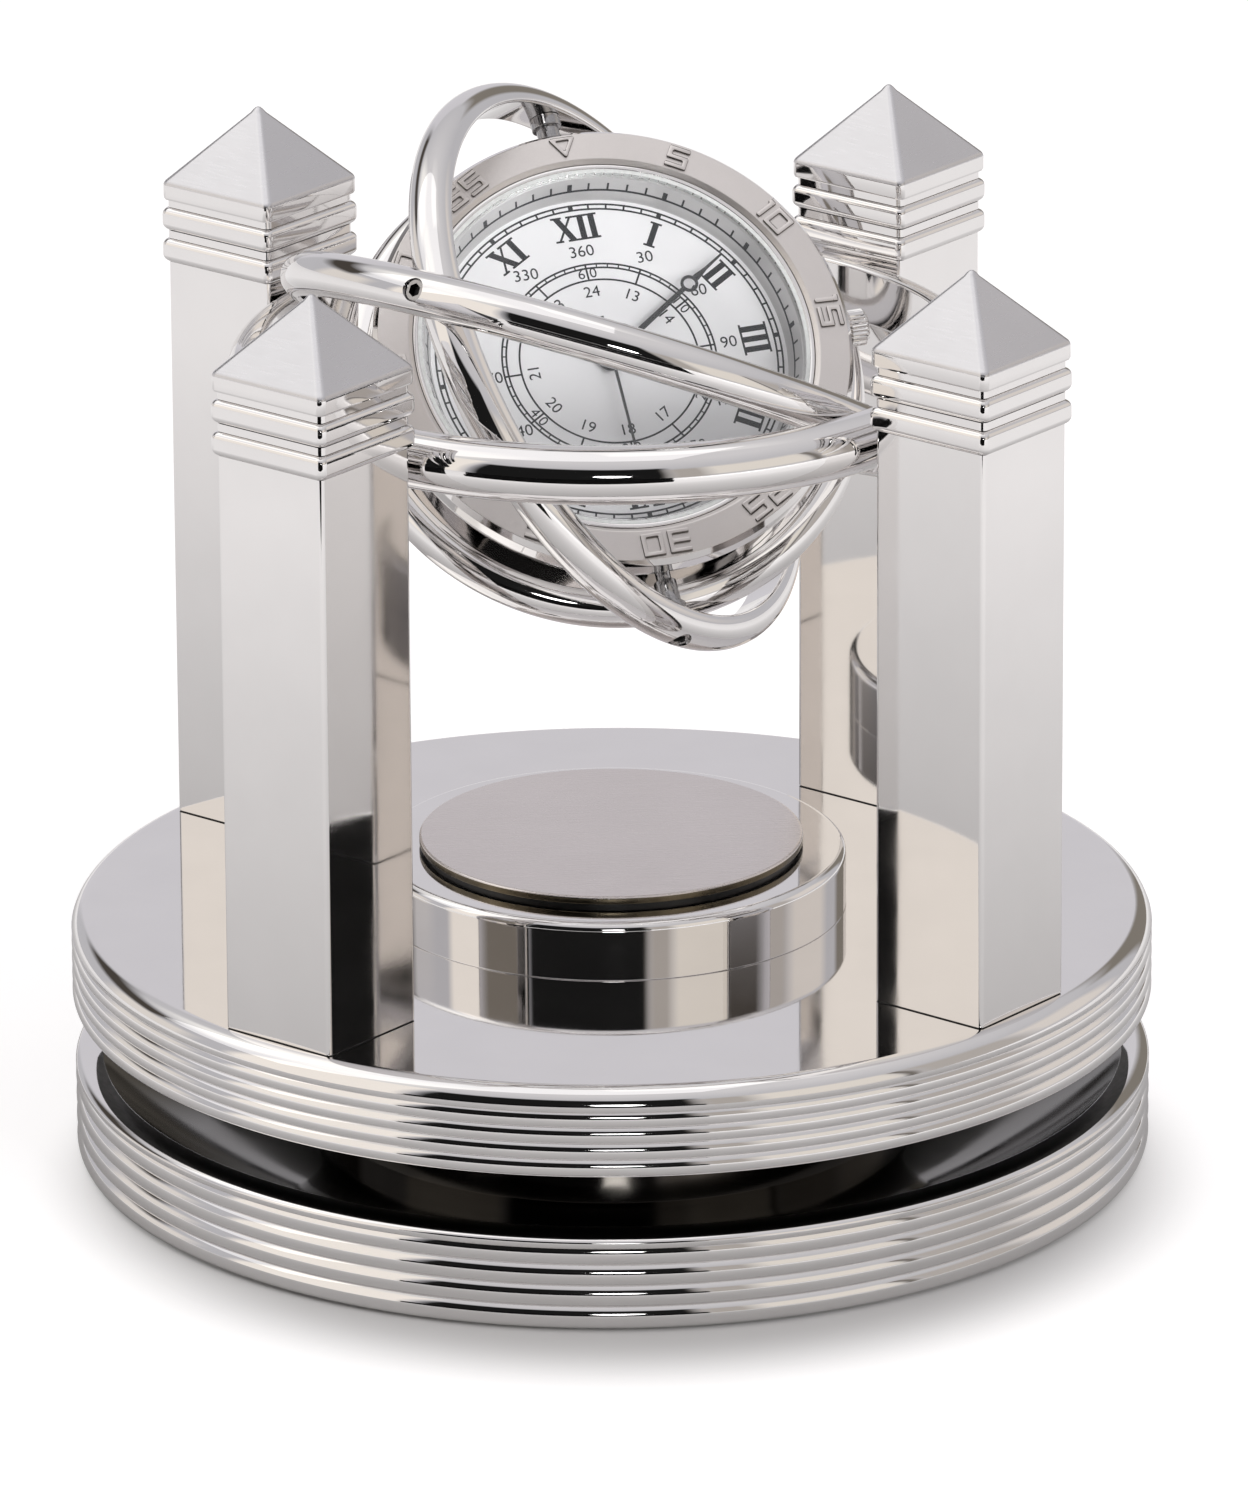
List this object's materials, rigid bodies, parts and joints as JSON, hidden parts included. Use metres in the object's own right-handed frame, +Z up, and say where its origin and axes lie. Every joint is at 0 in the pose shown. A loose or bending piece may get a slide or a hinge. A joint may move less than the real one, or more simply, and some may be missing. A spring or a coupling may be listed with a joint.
{
  "type": "gimbal desk clock",
  "caption": "Desk clock hung in nested gimbal rings between square columns with pyramid capitals, on a revolving ribbed round base with a bare centre plate.",
  "frame": {"origin": "middle of the underside of the felt pad, on the surface that the clock stands on", "axes": "+Z up along the turntable's axis; +X to the right of the side that the clock faces in the picture, -Y towards that side"},
  "size_m": [0.115, 0.115, 0.1143],
  "materials": {
    "polished_chrome": "mirror polished nickel-chrome plate on cast and turned zinc",
    "satin_chrome": "satin plated metal with a fine brushed grain",
    "steel": "bright screws, pins and studs",
    "felt": "black felt",
    "bronze": "oil bronze",
    "ptfe": "white bearing plastic",
    "rubber": "black rubber",
    "holder_plastic": "white moulded plastic",
    "movement_brass": "plated brass",
    "dial_enamel": "satin white lacquer with black print",
    "flange_satin": "silver lacquer with black ticks",
    "crystal_glass": "clear mineral glass",
    "gasket_nylon": "white nylon",
    "hand_black": "gloss black lacquer"
  },
  "bodies": {
    "base": {"foot_ring": "polished_chrome", "base_pad": "felt", "pedestal": "polished_chrome", "pedestal_screws": "steel", "bearing_bush": "bronze", "thrust_washer": "ptfe"},
    "turntable": {"turntable_disc": "polished_chrome", "plinth": "polished_chrome", "plinth_screws": "steel", "name_plate": "satin_chrome", "spindle": "steel", "spindle_washer": "steel", "spindle_nut": "steel", "column_front_left": "polished_chrome", "column_front_right": "polished_chrome", "column_back_right": "polished_chrome", "column_back_left": "polished_chrome", "capital_front_left": "satin_chrome", "capital_front_right": "satin_chrome", "capital_back_right": "satin_chrome", "capital_back_left": "satin_chrome", "column_screws": "steel", "capital_studs": "steel", "fixed_ring": "polished_chrome", "ring_dowels": "polished_chrome", "fixed_pivots": "polished_chrome"},
    "first_swing": {"first_ring": "polished_chrome", "first_pivots": "steel"},
    "second_swing": {"second_ring": "polished_chrome", "second_pivots": "steel"},
    "clock": {"cradle_ring": "polished_chrome", "cradle_screws": "steel", "case": "polished_chrome", "case_back": "polished_chrome", "back_gasket": "rubber", "movement_holder": "holder_plastic", "movement": "movement_brass", "battery": "steel", "dial": "dial_enamel", "tick_flange": "flange_satin", "crystal": "crystal_glass", "crystal_gasket": "gasket_nylon", "bezel_wire": "steel", "crown_tube": "polished_chrome"},
    "bezel": {"bezel": "polished_chrome"},
    "lever": {"setting_lever": "movement_brass"},
    "crown": {"crown_stem": "steel", "crown": "polished_chrome"},
    "hour": {"hour_hand": "hand_black"},
    "minute": {"minute_hand": "hand_black"},
    "second": {"second_hand": "hand_black"}
  },
  "joints": [
    {"name": "turntable_turn", "type": "hinge", "parent": "base", "child": "turntable", "pos_m": [0, 0, 0.0172], "axis": [0, 0, 1], "continuous": true},
    {"name": "first_ring_tilt", "type": "hinge", "parent": "turntable", "child": "first_swing", "pos_m": [0, 0, 0.0863], "axis": [-0.7071, 0.7071, 0], "continuous": true},
    {"name": "second_ring_tilt", "type": "hinge", "parent": "first_swing", "child": "second_swing", "pos_m": [0, 0, 0.0863], "axis": [-0.63, -0.63, 0.454], "continuous": true},
    {"name": "clock_tilt", "type": "hinge", "parent": "second_swing", "child": "clock", "pos_m": [0, 0, 0.0863], "axis": [-0.1559, 0.6753, 0.7208], "continuous": true},
    {"name": "bezel_turn", "type": "hinge", "parent": "clock", "child": "bezel", "pos_m": [0.00021, -0.00267, 0.08885], "axis": [0.0581, -0.7222, 0.6892], "continuous": true},
    {"name": "stem_pull", "type": "slide", "parent": "clock", "child": "lever", "axis": [0.9861, 0.1493, 0.0734], "range_m": [0, 0.0008]},
    {"name": "crown_turn", "type": "hinge", "parent": "lever", "child": "crown", "pos_m": [0.02661, 0.00414, 0.08818], "axis": [0.9861, 0.1493, 0.0734], "continuous": true},
    {"name": "minute_turn", "type": "hinge", "parent": "clock", "child": "minute", "pos_m": [0.0001, -0.0013, 0.08754], "axis": [-0.0581, 0.7222, -0.6892], "continuous": true},
    {"name": "hour_turn", "type": "hinge", "parent": "clock", "child": "hour", "pos_m": [0.00007, -0.00094, 0.0872], "axis": [-0.0581, 0.7222, -0.6892], "continuous": true},
    {"name": "second_turn", "type": "hinge", "parent": "clock", "child": "second", "pos_m": [0.00013, -0.00166, 0.08789], "axis": [-0.0581, 0.7222, -0.6892], "continuous": true}
  ],
  "couplings": [
    {"joint": "minute_turn", "follows": "second_turn", "ratio": 0.016667},
    {"joint": "hour_turn", "follows": "second_turn", "ratio": 0.0013889}
  ]
}
